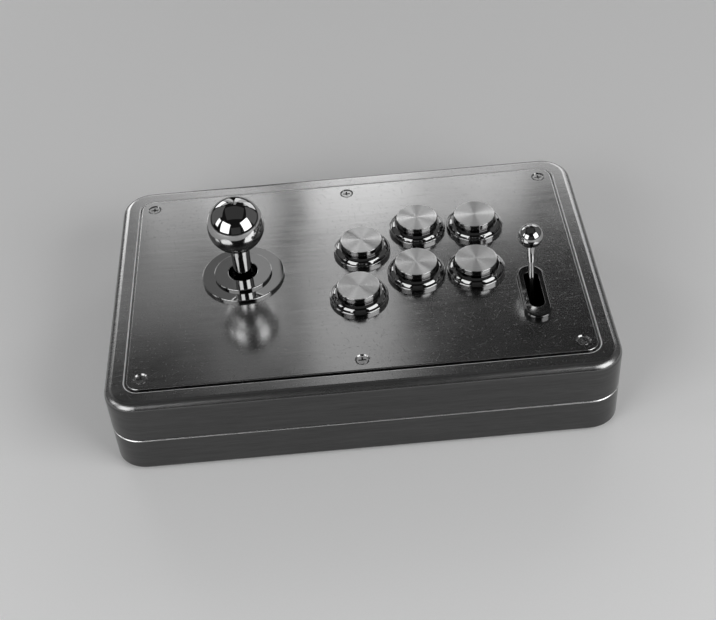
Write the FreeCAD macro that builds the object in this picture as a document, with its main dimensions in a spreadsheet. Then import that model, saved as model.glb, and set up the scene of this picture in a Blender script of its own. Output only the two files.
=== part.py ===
import FreeCAD, Part
import math
import os
from types import SimpleNamespace

import Sketcher

# An arcade stick: a two-part metal case, a screwed-on control panel with a gimbal stick on the left,
# six push buttons in two skewed rows and a small selector lever on the right.
# Millimetres, +Z up, +X to the player's right, +Y away from the player.
# The origin is under the middle of the case, on the surface that the feet stand on.

DRIVING_SIZES = {
    # Panel and control layout
    "panel_left_margin": 68.3,
    "stick_to_buttons": 70.9,
    "column_pitch": 36.9,
    "buttons_to_selector": 31.9,
    "panel_right_margin": 30.1,
    "panel_depth": 175.0,
    "panel_thickness": 3.0,
    "panel_proud": 0.8,
    "panel_corner": 7.5,
    "panel_edge_round": 0.5,
    "panel_gap": 1.2,
    "stick_y": 4.2,
    "first_column_y": -25.3,
    "second_column_y": -7.8,
    "third_column_y": -9.5,
    "row_pitch": 43.2,
    "row_skew": 4.6,
    "selector_y": -35.0,
    # Case
    "rim_width": 13.5,
    "case_corner": 19.0,
    "roll_radius": 5.0,
    "rim_edge_round": 0.9,
    "case_wall": 3.0,
    "upper_height": 28.6,
    "lower_height": 23.6,
    "floor_thickness": 3.0,
    "parting_bevel": 0.8,
    "parting_round": 0.8,
    "base_bevel": 0.8,
    "ledge_width": 13.0,
    "ledge_thickness": 4.0,
    "lip_thickness": 1.6,
    "lip_height": 3.0,
    "lip_gap": 0.2,
    # Fasteners
    "screw_diameter": 4.0,
    "thread_gap": 0.1,
    "screw_passage": 4.4,
    "boss_diameter": 9.0,
    "panel_screw_inset": 8.4,
    "panel_screw_length": 10.0,
    "panel_head_diameter": 8.0,
    "panel_head_sink": 0.4,
    "panel_head_round": 0.3,
    "panel_boss_depth": 6.0,
    "cross_length": 4.6,
    "cross_width": 1.0,
    "cross_depth": 1.4,
    "slot_length": 3.22,
    "case_screw_inset": 13.0,
    "case_head_diameter": 7.2,
    "case_head_height": 2.6,
    "case_counterbore": 8.0,
    "case_counterbore_depth": 12.0,
    "case_thread_depth": 10.0,
    "stud_length": 7.5,
    "nut_across_flats": 7.0,
    "nut_height": 3.2,
    "small_screw_diameter": 3.0,
    "small_screw_passage": 3.4,
    "small_head_diameter": 5.5,
    "small_head_height": 2.0,
    # Feet
    "foot_height": 2.5,
    "foot_diameter": 18.0,
    "foot_taper": 1.0,
    "foot_recess": 1.0,
    "foot_fit": 0.1,
    "foot_inset": 24.0,
    # Stick collar
    "collar_diameter": 51.5,
    "collar_thickness": 2.0,
    "collar_round": 0.4,
    "ring_diameter": 36.0,
    "ring_thickness": 1.8,
    "ring_bore": 18.2,
    "ring_barrel": 22.0,
    "ring_barrel_depth": 8.0,
    "barrel_fit": 0.1,
    "collar_nut_across": 28.0,
    "collar_nut_height": 3.0,
    # Stick lever
    "pivot_depth": 13.0,
    "ball_diameter": 35.0,
    "ball_height": 41.0,
    "shaft_diameter": 8.0,
    "shaft_thread": 6.0,
    "shaft_thread_length": 12.5,
    "hub_diameter": 14.0,
    "hub_length": 8.0,
    "sleeve_top_diameter": 12.3,
    "sleeve_low_diameter": 10.4,
    "sleeve_socket": 2.8,
    "sleeve_fit": 0.05,
    "magnet_diameter": 6.0,
    "magnet_height": 2.0,
    "magnet_gap": 0.9,
    # Stick gimbal and housing
    "pin_diameter": 4.0,
    "pin_running_gap": 0.05,
    "pin_press_gap": 0.02,
    "gimbal_bore": 17.0,
    "gimbal_diameter": 27.0,
    "gimbal_height": 7.0,
    "gimbal_round": 0.8,
    "pin_end_set_back": 0.5,
    "trunnion_inner": 9.5,
    "trunnion_seat": 6.5,
    "trunnion_boss": 10.0,
    "gimbal_side_gap": 1.0,
    "housing_width": 52.0,
    "housing_wall": 3.0,
    "housing_corner": 6.0,
    "housing_depth": 24.0,
    "housing_floor": 5.0,
    "flange_width": 84.0,
    "flange_thickness": 2.5,
    "stud_spread_x": 36.0,
    "stud_spread_y": 18.0,
    "grommet_neck": 22.0,
    "grommet_flange": 26.0,
    "grommet_flange_thickness": 1.5,
    "grommet_gap": 0.1,
    "gate_screw_offset": 18.0,
    "gate_size": 46.0,
    "gate_thickness": 2.5,
    "gate_drop": 3.5,
    "gate_travel": 2.85,
    "gate_post": 7.0,
    "sensor_drop": 3.4,
    "board_thickness": 1.6,
    "gate_screw_bite": 4.0,
    # Buttons
    "cap_diameter": 26.0,
    "cap_height": 9.8,
    "cap_edge_round": 0.5,
    "cap_top": 2.3,
    "cap_skirt": 1.7,
    "cap_stop_depth": 4.0,
    "cap_stop_height": 2.0,
    "cap_stop_overhang": 0.7,
    "cap_gap": 0.3,
    "bezel_diameter": 36.1,
    "bezel_flange": 2.7,
    "bezel_flange_round": 1.0,
    "bezel_height": 5.4,
    "bezel_step": 1.15,
    "bezel_shoulder": 4.34,
    "bezel_shoulder_inset": 0.76,
    "bezel_shoulder_round": 4.0,
    "bezel_lip": 1.0,
    "bezel_lip_round": 0.4,
    "barrel_diameter": 29.6,
    "barrel_depth": 22.0,
    "barrel_floor": 2.0,
    "barrel_hole_gap": 0.4,
    "terminal_window": 8.0,
    "button_nut_wall": 2.6,
    "button_nut_height": 4.0,
    "button_nut_round": 0.8,
    "plunger_diameter": 5.0,
    "plunger_top_depth": 10.0,
    "plunger_length": 6.0,
    "plunger_gap": 0.1,
    "switch_width": 14.0,
    "switch_height": 8.0,
    "switch_bore_depth": 7.4,
    "terminal_spread": 2.0,
    "terminal_width": 3.0,
    "terminal_thickness": 0.8,
    "terminal_length": 6.0,
    # Selector lever
    "escutcheon_length": 47.5,
    "escutcheon_width": 16.9,
    "escutcheon_height": 3.0,
    "escutcheon_round": 1.4,
    "escutcheon_shift": 0.8,
    "escutcheon_slot_round": 0.3,
    "selector_slot_length": 32.0,
    "selector_slot_width": 9.2,
    "dimple_diameter": 1.6,
    "dimple_depth": 0.5,
    "dimple_margin": 3.4,
    "spigot_wall": 1.3,
    "spigot_fit": 0.1,
    "selector_pivot_depth": 30.0,
    "selector_lean": 16.7,
    "knob_diameter": 15.0,
    "knob_reach": 62.6,
    "knob_neck_diameter": 5.8,
    "knob_neck_foot": 4.0,
    "knob_neck_length": 12.0,
    "knob_neck_bury": 2.5,
    "stem_diameter": 3.3,
    "stem_socket": 8.0,
    "pivot_hub_diameter": 10.0,
    "pivot_hub_width": 12.0,
    "pivot_shaft_diameter": 5.0,
    "pivot_shaft_reach": 20.0,
    "bracket_thickness": 1.5,
    "bracket_width": 24.0,
    "bracket_margin": 14.0,
    "bracket_leg_offset": 9.0,
    "bracket_leg_width": 20.0,
    "bracket_leg_tail": 10.0,
    "selector_switch_size": 18.0,
    "selector_switch_thickness": 12.0,
    # Main board and socket
    "board_x": 48.0,
    "board_width": 70.0,
    "board_depth": 44.0,
    "board_corner": 2.0,
    "board_wall_gap": 0.8,
    "board_post_height": 6.0,
    "board_post_diameter": 7.0,
    "board_hole_inset": 4.0,
    "board_screw_length": 7.0,
    "chip_width": 10.0,
    "chip_height": 1.2,
    "header_length": 24.0,
    "header_width": 6.0,
    "header_height": 7.0,
    "socket_width": 9.0,
    "socket_height": 3.3,
    "socket_depth": 8.5,
    "socket_wall": 0.3,
    "socket_overhang": 2.0,
    "socket_pit": 6.0,
    "tongue_width": 6.6,
    "tongue_thickness": 0.7,
    "socket_opening_width": 13.0,
    "socket_opening_height": 7.0,
}

# How near an edge lies to a face to count as one of its own
EDGE_TOLERANCE = 0.01
# The least volume that a cut has to take away
LEAST_CUT = 0.01

doc = FreeCAD.newDocument("ArcadeStick")


class Size:
    """A length: its value now, and the sheet expression that keeps it up to date."""

    def __init__(self, value, text):
        self.value = float(value)
        self.text = text

    def __add__(self, other):
        other = as_size(other)
        return Size(self.value + other.value, f"({self.text} + {other.text})")

    def __sub__(self, other):
        other = as_size(other)
        return Size(self.value - other.value, f"({self.text} - {other.text})")

    def __mul__(self, other):
        other = as_size(other)
        return Size(self.value * other.value, f"({self.text} * {other.text})")

    def __truediv__(self, other):
        other = as_size(other)
        return Size(self.value / other.value, f"({self.text} / {other.text})")

    def __neg__(self):
        return Size(-self.value, f"(0 - {self.text})")

    __radd__ = __add__
    __rmul__ = __mul__


def as_size(number):
    return number if isinstance(number, Size) else Size(number, f"({float(number)!r})")


def fill_sheet():
    """Write the driving sizes to the sheet and return them by name."""
    sheet = doc.addObject("Spreadsheet::Sheet", "Sizes")
    for row, (name, value) in enumerate(DRIVING_SIZES.items(), start=1):
        sheet.set(f"A{row}", name)
        sheet.set(f"B{row}", str(value))
        sheet.setAlias(f"B{row}", name)
    doc.recompute()
    named = {name: Size(value, f"Sizes.{name}") for name, value in DRIVING_SIZES.items()}
    return SimpleNamespace(**named)


class Drawing:
    """A sketch on one of a body's origin planes, with every point pinned to the sheet."""

    def __init__(self, body, plane, height):
        self.sketch = body.newObject("Sketcher::SketchObject", "Sketch")
        planes = {feature.Role: feature for feature in body.Origin.OriginFeatures}
        self.sketch.AttachmentSupport = [(planes[plane], "")]
        self.sketch.MapMode = "FlatFace"
        height = as_size(height)
        self.sketch.AttachmentOffset = FreeCAD.Placement(
            FreeCAD.Vector(0, 0, height.value), FreeCAD.Rotation())
        self.sketch.setExpression("AttachmentOffset.Base.z", height.text)

    def pin(self, kind, size, *where):
        """Add a dimension and tie it to the sheet."""
        index = self.sketch.addConstraint(Sketcher.Constraint(kind, *where, size.value))
        self.sketch.setExpression(f"Constraints[{index}]", size.text)

    def join(self, kind, *where):
        self.sketch.addConstraint(Sketcher.Constraint(kind, *where))

    def put(self, shape, end, x, y):
        """Pin one point of a shape at x, y; a plain zero puts it on the sketch's own axis."""
        for kind, size, axis in (("DistanceX", x, -2), ("DistanceY", y, -1)):
            if isinstance(size, Size):
                self.pin(kind, size, -1, 1, shape, end)
            else:
                self.join("PointOnObject", shape, end, axis)

    def circle(self, x, y, radius):
        middle = FreeCAD.Vector(as_size(x).value, as_size(y).value, 0)
        up = FreeCAD.Vector(0, 0, 1)
        shape = self.sketch.addGeometry(Part.Circle(middle, up, radius.value))
        self.put(shape, 3, x, y)
        self.pin("Radius", radius, shape)
        return self

    def outline(self, corners):
        """A closed outline; a corner is (x, y), or (x, y, radius) where it is rounded."""
        spots = [FreeCAD.Vector(as_size(c[0]).value, as_size(c[1]).value, 0) for c in corners]
        count = len(corners)
        turns = [self.corner_turn(spots[k - 1], spots[k], spots[(k + 1) % count], corners[k])
                 for k in range(count)]
        lines = []
        for k in range(count):
            start = turns[k].leaves
            end = turns[(k + 1) % count].meets
            lines.append(self.sketch.addGeometry(Part.LineSegment(start, end)))
        for k in range(count):
            self.finish_corner(corners[k], spots[k], turns[k], lines[k - 1], lines[k])
        return self

    def corner_turn(self, before, spot, after, corner):
        """Where a corner's round meets and leaves the sides, and its arc."""
        if len(corner) < 3:
            return SimpleNamespace(meets=spot, leaves=spot, arc=None)
        radius = corner[2].value
        back = (before - spot).normalize()
        ahead = (after - spot).normalize()
        half = back.getAngle(ahead) / 2
        meets = spot + back * (radius / math.tan(half))
        leaves = spot + ahead * (radius / math.tan(half))
        middle = spot + (back + ahead).normalize() * (radius / math.sin(half))
        left_turn = back.cross(ahead).z < 0
        first, last = (meets, leaves) if left_turn else (leaves, meets)
        angles = [math.atan2(p.y - middle.y, p.x - middle.x) for p in (first, last)]
        if angles[1] < angles[0]:
            angles[1] += 2 * math.pi
        circle = Part.Circle(middle, FreeCAD.Vector(0, 0, 1), radius)
        arc = Part.ArcOfCircle(circle, *angles)
        return SimpleNamespace(meets=meets, leaves=leaves, arc=arc, left_turn=left_turn)

    def finish_corner(self, corner, spot, turn, line_in, line_out):
        if turn.arc is None:
            self.join("Coincident", line_in, 2, line_out, 1)
            self.put(line_out, 1, corner[0], corner[1])
            return
        point = self.sketch.addGeometry(Part.Point(spot), True)
        self.put(point, 1, corner[0], corner[1])
        self.join("PointOnObject", point, 1, line_in)
        self.join("PointOnObject", point, 1, line_out)
        arc = self.sketch.addGeometry(turn.arc)
        begin, end = (1, 2) if turn.left_turn else (2, 1)
        self.join("Tangent", line_in, 2, arc, begin)
        self.join("Tangent", arc, end, line_out, 1)
        self.pin("Radius", corner[2], arc)

    def rectangle(self, x, y, width, depth, radius=None):
        """A rectangle round x, y, with rounded corners where a radius is given."""
        sides = [(-1, -1), (1, -1), (1, 1), (-1, 1)]
        corners = [(as_size(x) + width / 2 * i, as_size(y) + depth / 2 * j) for i, j in sides]
        if radius is not None:
            corners = [(*corner, radius) for corner in corners]
        return self.outline(corners)

    def hexagon(self, across_flats):
        reach = across_flats / math.sqrt(3)
        angles = [math.radians(60 * k) for k in range(6)]
        return self.outline([(reach * math.cos(a), reach * math.sin(a)) for a in angles])

    def slot(self, x, y, length, width, along="y"):
        """A straight slot with round ends."""
        radius = width / 2
        run = (length - width) / 2
        turn = math.pi / 2 if along == "y" else 0.0
        ends = []
        for side in (1, -1):
            shift_x = as_size(0) if along == "y" else run * side
            shift_y = run * side if along == "y" else as_size(0)
            end_x = as_size(x) + shift_x
            end_y = as_size(y) + shift_y
            middle = FreeCAD.Vector(end_x.value, end_y.value, 0)
            circle = Part.Circle(middle, FreeCAD.Vector(0, 0, 1), radius.value)
            start = turn - math.pi / 2 + (0 if side > 0 else math.pi)
            arc = self.sketch.addGeometry(Part.ArcOfCircle(circle, start, start + math.pi))
            self.put(arc, 3, end_x, end_y)
            ends.append(arc)
        self.pin("Radius", radius, ends[0])
        for a, b in ((ends[0], ends[1]), (ends[1], ends[0])):
            start = self.sketch.getPoint(a, 2)
            end = self.sketch.getPoint(b, 1)
            line = self.sketch.addGeometry(Part.LineSegment(start, end))
            self.join("Tangent", a, 2, line, 1)
            self.join("Tangent", line, 2, b, 1)
        return self


class Piece:
    """One sub-part: a body built up from drawings, placed in the shared frame."""

    def __init__(self, label, x=0, y=0, z=0):
        self.body = doc.addObject("PartDesign::Body", label)
        self.body.Label = label
        place(self.body, x, y, z)

    def draw(self, height=0, plane="XY_Plane"):
        return Drawing(self.body, plane, height)

    def feature(self, kind, drawing):
        feature = self.body.newObject(f"PartDesign::{kind}", kind)
        feature.Profile = drawing.sketch
        drawing.sketch.Visibility = False
        return feature

    def pad(self, drawing, length, down=False):
        feature = self.feature("Pad", drawing)
        bind(feature, "Length", length)
        feature.Reversed = down
        return self

    def pocket(self, drawing, depth, up=False):
        feature = self.feature("Pocket", drawing)
        bind(feature, "Length", depth)
        feature.Reversed = up
        return self

    def bore_through(self, drawing):
        """Cut right through, to both sides of the drawing."""
        feature = self.feature("Pocket", drawing)
        feature.Type = "ThroughAll"
        feature.SideType = "Symmetric"
        return self

    def revolve(self, drawing):
        feature = self.feature("Revolution", drawing)
        feature.ReferenceAxis = (drawing.sketch, ["V_Axis"])
        feature.Angle = 360
        return self

    def turned(self, corners):
        """Revolve an outline of (radius, height) corners about the piece's upright axis."""
        return self.revolve(self.draw(plane="XZ_Plane").outline(corners))

    def countersink(self, drawing, passage, head):
        doc.recompute()
        feature = self.feature("Hole", drawing)
        feature.DepthType = "ThroughAll"
        feature.HoleCutType = "Countersink"
        feature.HoleCutCustomValues = True
        feature.HoleCutCountersinkAngle = 90
        bind(feature, "Diameter", passage)
        bind(feature, "HoleCutDiameter", head)
        return self

    def edges(self, wanted):
        """Names of the edges whose bounding box passes the test."""
        doc.recompute()
        shape = self.body.Tip.Shape
        return [f"Edge{k}" for k, edge in enumerate(shape.Edges, start=1) if wanted(edge.BoundBox)]

    def dress(self, kind, size_name, wanted, size):
        names = self.edges(wanted)
        base = self.body.Tip
        feature = self.body.newObject(f"PartDesign::{kind}", kind)
        feature.Base = (base, names)
        bind(feature, size_name, size)
        return self

    def round(self, wanted, radius):
        return self.dress("Fillet", "Radius", wanted, radius)

    def bevel(self, wanted, size):
        return self.dress("Chamfer", "Size", wanted, size)


def bind(thing, name, size):
    size = as_size(size)
    setattr(thing, name, size.value)
    thing.setExpression(name, size.text)


def place(thing, x, y, z):
    """Put a thing at x, y, z and tie its place to the sheet."""
    spot = [as_size(part) for part in (x, y, z)]
    thing.Placement = FreeCAD.Placement(
        FreeCAD.Vector(*(part.value for part in spot)), thing.Placement.Rotation)
    for axis, part in zip("xyz", spot):
        thing.setExpression(f"Placement.Base.{axis}", part.text)


def lean(thing, angle):
    """Turn a placed thing about the X direction, towards the back for a positive angle."""
    turn = FreeCAD.Rotation(FreeCAD.Vector(-1, 0, 0), angle.value)
    thing.Placement = FreeCAD.Placement(thing.Placement.Base, turn)
    thing.setExpression("Placement.Rotation.Angle", f"{angle.text} * 1 deg")


def primitive(kind, **sizes):
    thing = doc.addObject(f"Part::{kind}", kind)
    for name, size in sizes.items():
        bind(thing, name, size)
    return thing


def cylinder(radius, height, x=0, y=0, z=0, axis=None):
    """A plain cylinder from x, y, z along the axis, which is upright unless given."""
    thing = primitive("Cylinder", Radius=radius, Height=height)
    if axis is not None:
        turn = FreeCAD.Rotation(FreeCAD.Vector(0, 0, 1), FreeCAD.Vector(*axis))
        thing.Placement = FreeCAD.Placement(FreeCAD.Vector(), turn)
    place(thing, x, y, z)
    return thing


def fuse(*things):
    joined = doc.addObject("Part::MultiFuse", "Fuse")
    joined.Shapes = list(things)
    return joined


def cut(base, tool, label):
    result = doc.addObject("Part::Cut", label)
    result.Label = label
    result.Base = base
    result.Tool = tool
    return result


def group(label, pattern_piece, spots):
    """Copies of one piece at several spots, kept together as one sub-part."""
    links = []
    for x, y, z in spots:
        link = doc.addObject("App::Link", f"{label}_copy")
        link.LinkedObject = pattern_piece
        link.Placement = FreeCAD.Placement(FreeCAD.Vector(), pattern_piece.Placement.Rotation)
        place(link, x, y, z)
        links.append(link)
    gathered = doc.addObject("Part::Compound", label)
    gathered.Label = label
    gathered.Links = links
    return gathered


s = fill_sheet()
nodes = []

# Places and sizes worked out from the driving sizes

panel_width = (s.panel_left_margin + s.stick_to_buttons + s.column_pitch * 2
               + s.buttons_to_selector + s.panel_right_margin)
case_width = panel_width + s.rim_width * 2
case_depth = s.panel_depth + s.rim_width * 2
opening_width = panel_width + s.panel_gap * 2
opening_depth = s.panel_depth + s.panel_gap * 2
opening_corner = s.panel_corner + s.panel_gap
tray_wall = s.case_wall + s.lip_gap + s.lip_thickness

tray_floor = s.foot_height + s.floor_thickness
parting = s.foot_height + s.lower_height
rim_top = parting + s.upper_height
panel_top = rim_top + s.panel_proud
panel_under = panel_top - s.panel_thickness
ledge_under = panel_under - s.ledge_thickness

stick_x = s.panel_left_margin - panel_width / 2
first_column_x = stick_x + s.stick_to_buttons
selector_x = first_column_x + s.column_pitch * 2 + s.buttons_to_selector
button_spots = []
for column, front_y in enumerate((s.first_column_y, s.second_column_y, s.third_column_y)):
    front_x = first_column_x + s.column_pitch * column
    button_spots.append((front_x + s.row_skew, front_y + s.row_pitch))
    button_spots.append((front_x, front_y))

thread_bore = s.screw_diameter / 2 + s.thread_gap / 2
small_thread_bore = s.small_screw_diameter / 2 + s.thread_gap / 2


def grid(half_x, half_y, columns):
    """Spots on two facing rows."""
    return [(half_x * i if i else 0, half_y * j) for j in (-1, 1) for i in columns]


panel_screw_spots = grid(panel_width / 2 - s.panel_screw_inset,
                         s.panel_depth / 2 - s.panel_screw_inset, (-1, 0, 1))
case_screw_spots = grid(case_width / 2 - s.case_screw_inset,
                        case_depth / 2 - s.case_screw_inset, (-1, 0, 1))
foot_spots = grid(case_width / 2 - s.foot_inset, case_depth / 2 - s.foot_inset, (-1, 1))
stud_spots = grid(s.stud_spread_x, s.stud_spread_y, (-1, 1))
gate_screw_spots = grid(s.gate_screw_offset, s.gate_screw_offset, (-1, 1))
board_screw_spots = grid(s.board_width / 2 - s.board_hole_inset,
                         s.board_depth / 2 - s.board_hole_inset, (-1, 1))

board_y = case_depth / 2 - tray_wall - s.board_wall_gap - s.board_depth / 2
board_under = tray_floor + s.board_post_height
board_top = board_under + s.board_thickness
socket_middle = board_top + s.socket_height / 2


def keep(thing):
    nodes.append(thing.body if isinstance(thing, Piece) else thing)


def circles(drawing, spots, radius, x=0, y=0):
    for spot_x, spot_y in spots:
        drawing.circle(as_size(x) + spot_x, as_size(y) + spot_y, radius)
    return drawing


# Case


def make_upper_case():
    """The frame: rolled top edge, a sunk ledge that carries the panel, and screw bosses."""
    piece = Piece("upper_case")
    outside = piece.draw(parting).rectangle(0, 0, case_width, case_depth, s.case_corner)
    piece.pad(outside, s.upper_height)
    piece.round(lambda box: box.ZMin > rim_top.value - EDGE_TOLERANCE, s.roll_radius)
    recess = piece.draw(rim_top).rectangle(0, 0, opening_width, opening_depth, opening_corner)
    piece.pocket(recess, s.panel_thickness - s.panel_proud)
    half_opening = opening_width.value / 2
    piece.round(lambda box: box.ZMin > rim_top.value - EDGE_TOLERANCE
                and max(abs(box.XMin), abs(box.XMax)) < half_opening + EDGE_TOLERANCE
                and max(abs(box.YMin), abs(box.YMax)) < opening_depth.value / 2 + EDGE_TOLERANCE,
                s.rim_edge_round)
    window = piece.draw(panel_under).rectangle(
        0, 0, panel_width - s.ledge_width * 2, s.panel_depth - s.ledge_width * 2, s.panel_corner)
    piece.pocket(window, panel_under - parting)
    cavity = piece.draw(parting).rectangle(
        0, 0, case_width - s.case_wall * 2, case_depth - s.case_wall * 2, s.case_corner - s.case_wall)
    piece.pocket(cavity, ledge_under - parting, up=True)
    case_bosses = circles(piece.draw(parting), case_screw_spots, s.boss_diameter / 2)
    piece.pad(case_bosses, panel_under - s.ledge_thickness / 2 - parting)
    panel_bosses = circles(piece.draw(ledge_under - s.panel_boss_depth), panel_screw_spots,
                           s.boss_diameter / 2)
    piece.pad(panel_bosses, s.panel_boss_depth + s.ledge_thickness / 2)
    panel_threads = circles(piece.draw(panel_under), panel_screw_spots, thread_bore)
    piece.pocket(panel_threads, s.panel_screw_length)
    case_threads = circles(piece.draw(parting), case_screw_spots, thread_bore)
    piece.pocket(case_threads, s.case_thread_depth + s.thread_gap, up=True)
    inside = case_depth.value / 2 - s.case_wall.value
    piece.bevel(lambda box: box.ZMax < parting.value + EDGE_TOLERANCE
                and max(abs(box.YMin), abs(box.YMax)) > inside - s.case_corner.value
                and (max(abs(box.YMin), abs(box.YMax)) > inside + EDGE_TOLERANCE
                     or max(abs(box.XMin), abs(box.XMax)) > case_width.value / 2 - EDGE_TOLERANCE),
                s.parting_bevel)
    keep(piece)


def make_lower_case():
    """The tray: floor, walls, a locating lip, screw posts, board posts and the socket opening."""
    piece = Piece("lower_case")
    outside = piece.draw(s.foot_height).rectangle(0, 0, case_width, case_depth, s.case_corner)
    piece.pad(outside, s.lower_height)
    piece.round(lambda box: box.ZMin > parting.value - EDGE_TOLERANCE, s.parting_round)
    piece.bevel(lambda box: box.ZMax < s.foot_height.value + EDGE_TOLERANCE, s.base_bevel)
    inside_width = case_width - tray_wall * 2
    inside_depth = case_depth - tray_wall * 2
    inside_corner = s.case_corner - tray_wall
    cavity = piece.draw(parting).rectangle(0, 0, inside_width, inside_depth, inside_corner)
    piece.pocket(cavity, s.lower_height - s.floor_thickness)
    lip_set_back = s.case_wall + s.lip_gap
    lip = piece.draw(parting - s.lip_height)
    lip.rectangle(0, 0, case_width - lip_set_back * 2, case_depth - lip_set_back * 2,
                  s.case_corner - lip_set_back)
    lip.rectangle(0, 0, inside_width, inside_depth, inside_corner)
    piece.pad(lip, s.lip_height * 2)
    posts = circles(piece.draw(tray_floor - s.floor_thickness / 2), case_screw_spots,
                    s.boss_diameter / 2)
    piece.pad(posts, s.lower_height - s.floor_thickness / 2)
    board_posts = circles(piece.draw(tray_floor - s.floor_thickness / 2), board_screw_spots,
                          s.board_post_diameter / 2, s.board_x, board_y)
    piece.pad(board_posts, s.board_post_height + s.floor_thickness / 2)
    passages = circles(piece.draw(s.foot_height), case_screw_spots, s.screw_passage / 2)
    piece.pocket(passages, s.lower_height, up=True)
    counterbores = circles(piece.draw(s.foot_height), case_screw_spots, s.case_counterbore / 2)
    piece.pocket(counterbores, s.case_counterbore_depth, up=True)
    board_threads = circles(piece.draw(board_under), board_screw_spots, small_thread_bore,
                            s.board_x, board_y)
    piece.pocket(board_threads, s.board_screw_length)
    recesses = circles(piece.draw(s.foot_height), foot_spots, s.foot_diameter / 2 + s.foot_fit)
    piece.pocket(recesses, s.foot_recess, up=True)
    opening = piece.draw(tray_wall + s.case_wall - case_depth / 2, "XZ_Plane")
    opening.slot(s.board_x, socket_middle, s.socket_opening_width, s.socket_opening_height, "x")
    piece.pocket(opening, tray_wall * 2)
    keep(piece)


def make_control_panel():
    """The top plate: holes for every control, countersunk screw holes and studs underneath."""
    piece = Piece("control_panel")
    plate = piece.draw(panel_under).rectangle(0, 0, panel_width, s.panel_depth, s.panel_corner)
    piece.pad(plate, s.panel_thickness)
    piece.round(lambda box: box.ZMin > panel_top.value - EDGE_TOLERANCE, s.panel_edge_round)
    holes = piece.draw(panel_top)
    holes.circle(stick_x, s.stick_y, s.ring_barrel / 2 + s.barrel_fit)
    circles(holes, button_spots, s.barrel_diameter / 2 + s.barrel_hole_gap / 2)
    holes.slot(selector_x, s.selector_y, spigot_length + s.spigot_fit * 2,
               spigot_width + s.spigot_fit * 2)
    piece.pocket(holes, s.panel_thickness)
    piece.countersink(circles(piece.draw(panel_top), panel_screw_spots, s.screw_passage / 2),
                      s.screw_passage, s.panel_head_diameter + s.panel_head_sink * 2)
    studs = circles(piece.draw(panel_under + s.panel_thickness / 2), stud_spots,
                    s.screw_diameter / 2, stick_x, s.stick_y)
    circles(studs, bracket_stud_spots, s.screw_diameter / 2, selector_x, s.selector_y)
    piece.pad(studs, s.stud_length + s.panel_thickness / 2, down=True)
    keep(piece)


def make_panel_screws():
    """Countersunk cross-head screws, heads a little below the panel's face."""
    head = s.panel_head_diameter / 2
    shank = s.screw_diameter / 2
    screw = Piece("panel_screw_pattern")
    screw.turned([(0, 0), (head, 0, s.panel_head_round), (shank, shank - head),
                  (shank, -s.panel_screw_length), (0, -s.panel_screw_length)])
    cross = screw.draw()
    long_half = s.cross_length / 2
    arm = s.cross_width / 2
    cross.outline([(arm, -long_half), (arm, -arm), (long_half, -arm), (long_half, arm), (arm, arm),
                   (arm, long_half), (-arm, long_half), (-arm, arm), (-long_half, arm),
                   (-long_half, -arm), (-arm, -arm), (-arm, -long_half)])
    screw.pocket(cross, s.cross_depth)
    heads_at = panel_top - s.panel_head_sink
    keep(group("panel_screws", screw.body, [(x, y, heads_at) for x, y in panel_screw_spots]))


def make_case_screws():
    """Pan-head screws that come up through the tray's posts into the frame's bosses."""
    head = s.case_head_diameter / 2
    shank = s.screw_diameter / 2
    seat = s.foot_height + s.case_counterbore_depth
    tip = parting + s.case_thread_depth - seat
    screw = Piece("case_screw_pattern")
    screw.turned([(0, -s.case_head_height), (head, -s.case_head_height, s.case_head_height / 3),
                  (head, 0), (shank, 0), (shank, tip), (0, tip)])
    cross = screw.draw(-s.case_head_height)
    cross.rectangle(0, 0, s.cross_length, s.cross_width)
    screw.pocket(cross, s.cross_depth, up=True)
    keep(group("case_screws", screw.body, [(x, y, seat) for x, y in case_screw_spots]))


def make_feet():
    names = ("foot_front_left", "foot_front_right", "foot_back_left", "foot_back_right")
    radius = s.foot_diameter / 2
    for name, (x, y) in zip(names, foot_spots):
        foot = Piece(name, x, y)
        foot.turned([(0, 0), (radius - s.foot_taper, 0, s.foot_taper / 2), (radius, s.foot_height),
                     (radius, s.foot_height + s.foot_recess), (0, s.foot_height + s.foot_recess)])
        keep(foot)


# Stick


def make_collar():
    """The stepped collar round the lever: a disc on the panel and a flanged bush clamped by a nut."""
    barrel = s.ring_barrel / 2
    disc = Piece("collar_plate", stick_x, s.stick_y, panel_top)
    disc.turned([(barrel + s.barrel_fit, 0), (s.collar_diameter / 2, 0),
                 (s.collar_diameter / 2, s.collar_thickness, s.collar_round),
                 (barrel + s.barrel_fit, s.collar_thickness)])
    keep(disc)
    top = s.collar_thickness + s.ring_thickness
    ring = Piece("collar_ring", stick_x, s.stick_y, panel_top)
    ring.turned([(s.ring_bore / 2, -s.ring_barrel_depth), (barrel, -s.ring_barrel_depth),
                 (barrel, s.collar_thickness), (s.ring_diameter / 2, s.collar_thickness),
                 (s.ring_diameter / 2, top, s.collar_round),
                 (s.ring_bore / 2, top, s.collar_round)])
    keep(ring)
    nut = Piece("collar_nut", stick_x, s.stick_y, panel_under)
    profile = nut.draw().hexagon(s.collar_nut_across)
    profile.circle(0, 0, barrel + s.barrel_fit)
    nut.pad(profile, s.collar_nut_height, down=True)
    keep(nut)


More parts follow.
